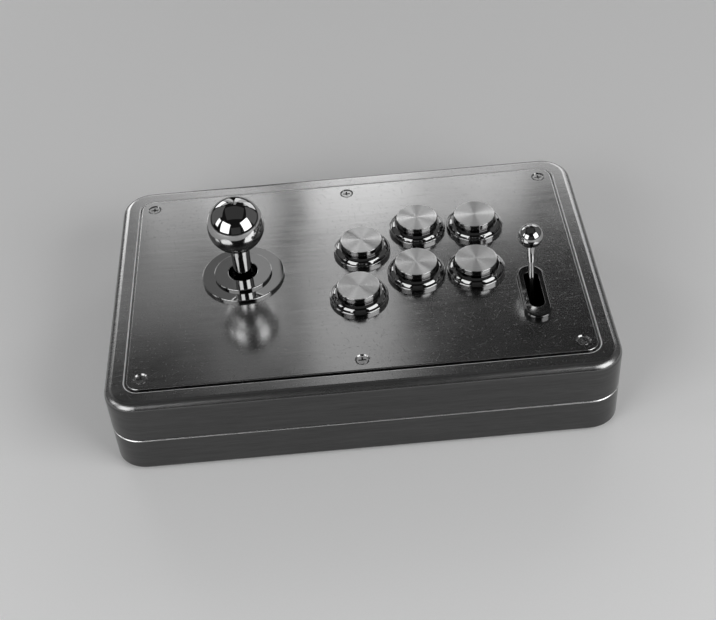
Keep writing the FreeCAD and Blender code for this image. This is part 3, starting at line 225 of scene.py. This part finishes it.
def satin_case(name, low, high, roll_painted_tone):
    """The case's steel: brushed walls in a darker tone, which is painted shade, a bright and used rim, and
    a painted highlight along the rim's inner border.

    The walls turn into the roll where the normal's height goes from low to high; the roll's tone is
    painted, shade on the case and a bright highlight on the tray.
    """
    r = Recipe(name, 0.30, 0.24, metallic=1.0)
    edge_highlight_tone = 0.95
    edge_roughness = 0.55
    roll_roughness = 0.09
    place = r.place()
    normal = r.normal()
    upward = r.fit(r.split(normal)[2], low, high)
    flat = r.fit(r.split(normal)[2], 0.95, 0.995)
    # Painted highlight: a near-white tone along the rim's inner rounded border, where the face looks up and
    # turns inward.
    inward = r.vector("DOT_PRODUCT", r.vector("MULTIPLY", normal, (-1.0, -1.0, 0.0)), place)
    edge_highlight = r.math("MULTIPLY", r.fit(inward, 0.004, 0.012), upward)
    grain = r.between(upward, brushed(r, place, across=2), brushed(r, place, across=1))
    haze = r.noise(place, scale=14.0, detail=5.0, roughness=0.6)
    worn = r.math("MULTIPLY", use_marks(r, place), flat)
    strokes = r.fit(grain, *GRAIN_SPAN)
    # Painted shade: the walls take a far darker tone than the rim of the same steel, and the roll takes the
    # painted roll tone.
    wall_shade = r.shades(strokes, 0.085, 0.12)
    rim = r.shades(strokes, 0.46, 0.54)
    roll = r.shades(upward, wall_shade, roll_painted_tone)
    clean = r.shades(flat, roll, rim)
    r.set("Base Color", r.shades(edge_highlight, mark(r, clean, worn), edge_highlight_tone))
    polish = r.math("ADD", r.fit(strokes, 0.0, 1.0, 0.16, 0.20), r.fit(haze, *CLOUD_SPAN, *HAZE_SWING))
    used = r.math("ADD", polish, r.math("MULTIPLY", worn, MARK_ROUGHNESS))
    rolled = r.math("MULTIPLY", upward, r.math("SUBTRACT", 1.0, flat))
    satin = r.math("ADD", used, r.math("MULTIPLY", rolled, roll_roughness))
    r.set("Roughness", r.between(edge_highlight, satin, edge_roughness))
    carve(r, grain, worn)
    return r.material


def polished(name, color, side, roughness, low=0.05, high=0.25):
    """Mirror-bright plating with a faint haze of polishing marks.

    It has the side's tone where the normal's height is under low, and its own colour above high; a side
    darker than the colour is painted shade.
    """
    r = Recipe(name, color, roughness, metallic=1.0)
    place = r.place()
    haze = r.noise(place, scale=45.0, detail=4.0)
    bent = r.warp(place, scale=200.0, amount=0.002)
    hairs = r.scratches(bent, spacing=0.006, length=0.005, width=0.00006, share=0.5, shift=(2.3, 0.7, 0.0))
    smear = r.fit(haze, 0.35, 0.75, roughness * 0.7, roughness * 1.8)
    upward = r.fit(r.split(r.normal())[2], low, high)
    # Upright faces take the side's tone, a painted shade where it is darker than the colour.
    r.set("Base Color", r.shades(upward, side, r.shades(haze, color * 0.93, color)))
    r.set("Roughness", r.math("ADD", smear, r.math("MULTIPLY", hairs, 0.10)))
    r.bump(r.math("MULTIPLY", hairs, -1.0), POLISH_RELIEF)
    return r.material


def spun_cap():
    """A button's face turned on a lathe, with rings that fan the light out, over a polished side darkened
    as painted shade.
    """
    r = Recipe("cap_spun", 0.62, 0.30, metallic=1.0)
    side_shade_tone = 0.20
    side_roughness = 0.05
    low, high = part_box("button_cap_1")
    width = high[0] - low[0]
    from_axis = r.vector("SUBTRACT", r.place("Generated"), (0.5, 0.5, 0.0))
    radius = r.vector("LENGTH", r.vector("MULTIPLY", from_axis, (width, width, 0.0)))
    face = r.fit(r.split(r.normal())[2], 0.5, 0.9)
    ring_place = r.add("ShaderNodeCombineXYZ", {0: radius}).outputs[0]
    rings = r.noise(ring_place, scale=2600.0, detail=3.0, roughness=0.7)
    wide_rings = r.noise(ring_place, scale=700.0, detail=2.0, roughness=0.6)
    grain = r.math("ADD", r.math("MULTIPLY", rings, 0.6), r.math("MULTIPLY", wide_rings, 0.4))
    strokes = r.fit(grain, *CLOUD_SPAN)
    # The polished side takes a dark tone, a painted shade; the face keeps the spun metal's tone.
    r.set("Base Color", r.shades(face, side_shade_tone, r.shades(strokes, 0.70, 0.84)))
    r.set("Roughness", r.between(face, side_roughness, r.fit(strokes, 0.0, 1.0, 0.27, 0.33)))
    r.set("Anisotropic", 1.0)
    r.set("Anisotropic Rotation", 0.25)
    r.set("Tangent", r.add("ShaderNodeTangent", {}, direction_type="RADIAL", axis="Z").outputs[0])
    r.bump(r.math("MULTIPLY", grain, face), POLISH_RELIEF)
    return r.material


def turned_steel(name, color, roughness):
    """Bare machined steel with a fine tool grain."""
    r = Recipe(name, color, roughness, metallic=1.0)
    place = r.place()
    grain = r.noise(r.stretch(place, (900.0, 900.0, 3200.0)), detail=3.0)
    haze = r.noise(place, scale=60.0, detail=3.0)
    r.set("Base Color", r.shades(r.fit(grain, *CLOUD_SPAN), color * 0.8, color))
    r.set("Roughness", r.fit(r.math("ADD", grain, haze), 0.7, 1.3, roughness * 0.8, roughness * 1.3))
    r.bump(grain, TURNED_RELIEF)
    return r.material


def moulded(name, color, roughness, grain_size, relief):
    """Moulded plastic or rubber with a fine spark-eroded grain."""
    r = Recipe(name, color, roughness)
    place = r.place()
    grain = r.noise(place, scale=1 / grain_size, detail=2.0)
    cloud = r.noise(place, scale=40.0, detail=3.0)
    r.set("Base Color", r.shades(cloud, color * 0.8, color * 1.2))
    r.set("Roughness", r.fit(grain, *CLOUD_SPAN, roughness - 0.06, roughness + 0.08))
    r.bump(grain, relief)
    return r.material


def circuit_board():
    """Green lacquer over raised tracks, unevenly glossy."""
    lacquer = (0.015, 0.085, 0.04, 1.0)
    over_track = (0.04, 0.17, 0.07, 1.0)
    r = Recipe("circuit_board", (0.02, 0.10, 0.045, 1.0), 0.35)
    place = r.place()
    layout = {"Vector": place, "Scale": 160.0, "Mortar Size": 0.03}
    tracks = r.add("ShaderNodeTexBrick", layout).outputs["Fac"]
    cloud = r.noise(place, scale=300.0, detail=2.0)
    r.set("Base Color", r.shades(tracks, lacquer, over_track))
    r.set("Roughness", r.fit(cloud, *CLOUD_SPAN, 0.28, 0.42))
    r.bump(tracks, TRACK_RELIEF)
    return r.material


def floor_paper():
    """The pale ground sheet."""
    r = Recipe("ground_sheet", 0.90, 0.75)
    fibre = r.noise(r.place(), scale=900.0, detail=3.0)
    r.set("Base Color", r.shades(fibre, 0.88, 0.92))
    r.set("Specular IOR Level", 0.2)
    return r.material


def dress_nodes():
    """Give every solid the finish of its slot, and a few solids a finish of their own."""
    finishes = {
        # The case's walls and roll carry painted shade.
        "case_satin": satin_case("case_satin", low=0.25, high=0.55, roll_painted_tone=0.28),
        "panel_satin": satin_panel(),
        "screw_steel": turned_steel("screw_steel", color=0.55, roughness=0.20),
        "polished": polished("polished", color=0.42, side=0.42, roughness=0.035),
        # The bezels' upright sides take a darker painted shade.
        "bezel_chrome": polished("bezel_chrome", color=0.26, side=0.17, roughness=0.045),
        "cap_spun": spun_cap(),
        "bright_steel": turned_steel("bright_steel", color=0.55, roughness=0.22),
        "black_plastic": moulded("black_plastic", 0.025, 0.45, grain_size=0.0006, relief=0.00005),
        "white_plastic": moulded("white_plastic", 0.60, 0.40, grain_size=0.0006, relief=0.00003),
        "rubber": moulded("rubber", 0.018, 0.80, grain_size=0.0004, relief=0.00008),
        "circuit_board": circuit_board(),
    }
    for thing in nodes.values():
        for slot in thing.material_slots:
            slot.material = finishes[slot.material.name.split(".")[0]]
    # The collar's upright walls take a darker painted shade.
    collar_polish = polished("collar_polish", color=0.42, side=0.15, roughness=0.035)
    own_finishes = {
        "collar_plate": collar_polish,
        "collar_ring": collar_polish,
        # The tray's walls carry painted shade, and its upward chamfer a bright painted highlight.
        "lower_case": satin_case("tray_satin", low=0.04, high=0.30, roll_painted_tone=0.80),
        "selector_stem": turned_steel("stem_steel", color=0.36, roughness=0.20),
        # The oval plate's sides and rounded border take a dark painted shade.
        "selector_escutcheon": polished("plate_polish", color=0.48, side=0.09, roughness=0.11,
                                        low=0.98, high=0.999),
    }
    for name, finish in own_finishes.items():
        nodes[name].material_slots[0].material = finish


# Ground, light and camera

FLOOR_HALF = 3.0
ROOM_GLOW = 0.015
# Light panels on the back wall: name, middle x and z, width, height, lean to the right, brightness
BACK_WALL = 0.9
BACK_PANELS = [
    ("far_left", -0.59, 0.41, 0.38, 0.42, 0.0, 2.6),
    ("far_left_upper", -0.54, 0.77, 0.28, 0.30, 0.0, 0.7),
    ("left", -0.3134, 0.4633, 0.11, 0.60, 14.0, 0.65),
    ("middle_left", -0.2066, 0.4367, 0.11, 0.60, 14.0, 1.05),
    ("middle", 0.0225, 0.47, 0.155, 0.54, 0.0, 1.45),
    ("middle_right", 0.1875, 0.485, 0.175, 0.57, 0.0, 0.9),
    ("beside_right", 0.31, 0.47, 0.07, 0.44, 0.0, 0.8),
    ("right", 0.5975, 0.415, 0.505, 0.57, 0.0, 1.5),
    ("right_upper", 0.60, 0.825, 0.20, 0.25, 0.0, 0.9),
    ("left_upper", -0.305, 0.835, 0.13, 0.17, 0.0, 0.3),
    ("middle_left_upper", -0.205, 0.94, 0.07, 0.44, 0.0, 0.18),
    ("beside_column", -0.1375, 0.86, 0.065, 0.28, 0.0, 0.46),
    ("column", 0.0, 0.91, 0.16, 0.30, 0.0, 0.56),
    ("column_top", 0.0, 1.19, 0.16, 0.26, 0.0, 0.42),
]
# Windows round the object: name, azimuth from straight back, elevation, width, height, brightness
WINDOW_DISTANCE = 1.05
WINDOW_AIM = Vector((0.0, 0.0, 0.06))
SIDE_WINDOWS = [
    ("left_window", -135.0, 23.0, 0.66, 0.70, 3.0),
    ("right_window", 129.0, 26.0, 0.72, 0.76, 3.4),
    ("far_left_window", -98.0, 24.0, 0.24, 0.44, 2.6),
    ("left_fill", -66.0, 26.0, 0.80, 0.90, 0.18),
    ("right_fill", 76.0, 26.0, 1.00, 0.90, 0.17),
    ("front_fill", 180.0, 16.0, 0.70, 0.50, 0.06),
    ("top_fill", 0.0, 90.0, 1.30, 1.10, 0.06),
]
# The camera: sensor and focal length in millimetres, its place, and where its right and top point
SENSOR_WIDTH = 36.0
FOCAL_LENGTH = 63.83
CAMERA_SPOT = (-0.00517, -0.59995, 0.57730)
CAMERA_RIGHT = Vector((0.99613, -0.06467, -0.05955))
CAMERA_UP = Vector((0.08763, 0.67653, 0.73119))


def make_floor():
    """A wide flat sheet under the feet."""
    corners = [(x * FLOOR_HALF, y * FLOOR_HALF, 0.0) for x, y in ((-1, -1), (1, -1), (1, 1), (-1, 1))]
    mesh = bpy.data.meshes.new("floor")
    mesh.from_pydata(corners, [], [(0, 1, 2, 3)])
    mesh.materials.append(floor_paper())
    floor = bpy.data.objects.new("floor", mesh)
    bpy.context.collection.objects.link(floor)


def softbox(name, spot, aim, width, height, lean, brightness):
    """A rectangular soft light; brightness is the level its face shows in a mirror."""
    light = bpy.data.lights.new(name, "AREA")
    light.shape = "RECTANGLE"
    light.size = width
    light.size_y = height
    light.energy = brightness * math.pi * width * height
    lamp = bpy.data.objects.new(name, light)
    lamp.location = spot
    lamp.visible_camera = False
    facing = (aim - spot).to_track_quat("-Z", "Y")
    lamp.rotation_euler = (facing @ Quaternion((0.0, 0.0, 1.0), math.radians(lean))).to_euler()
    bpy.context.collection.objects.link(lamp)


def make_lights():
    """Bright windows behind the stick and at its front corners, and dim ones all round, in a dark room."""
    for name, x, z, width, height, lean, brightness in BACK_PANELS:
        spot = Vector((x, BACK_WALL, z))
        softbox(name, spot, spot - Vector((0.0, 1.0, 0.0)), width, height, lean, brightness)
    for name, azimuth, elevation, width, height, brightness in SIDE_WINDOWS:
        turn = math.radians(azimuth)
        rise = math.radians(elevation)
        way = Vector((math.sin(turn) * math.cos(rise), math.cos(turn) * math.cos(rise), math.sin(rise)))
        softbox(name, WINDOW_AIM + way * WINDOW_DISTANCE, WINDOW_AIM, width, height, 0.0, brightness)
    world = bpy.data.worlds.new("studio")
    bpy.context.scene.world = world
    world.use_nodes = True
    background = world.node_tree.nodes["Background"]
    background.inputs["Color"].default_value = grey(1.0)
    background.inputs["Strength"].default_value = ROOM_GLOW


def make_camera():
    """The photograph's view: placed and turned as the six panel screws and the case's edges ask."""
    camera = bpy.data.cameras.new("camera")
    camera.sensor_width = SENSOR_WIDTH
    camera.lens = FOCAL_LENGTH
    back = CAMERA_RIGHT.cross(CAMERA_UP)
    turn = Matrix((CAMERA_RIGHT, CAMERA_UP, back)).transposed().to_4x4()
    holder = bpy.data.objects.new("camera", camera)
    holder.matrix_world = Matrix.Translation(CAMERA_SPOT) @ turn
    bpy.context.collection.objects.link(holder)
    bpy.context.scene.camera = holder


dress_nodes()
make_floor()
make_lights()
make_camera()
bpy.context.scene.view_settings.view_transform = "Standard"
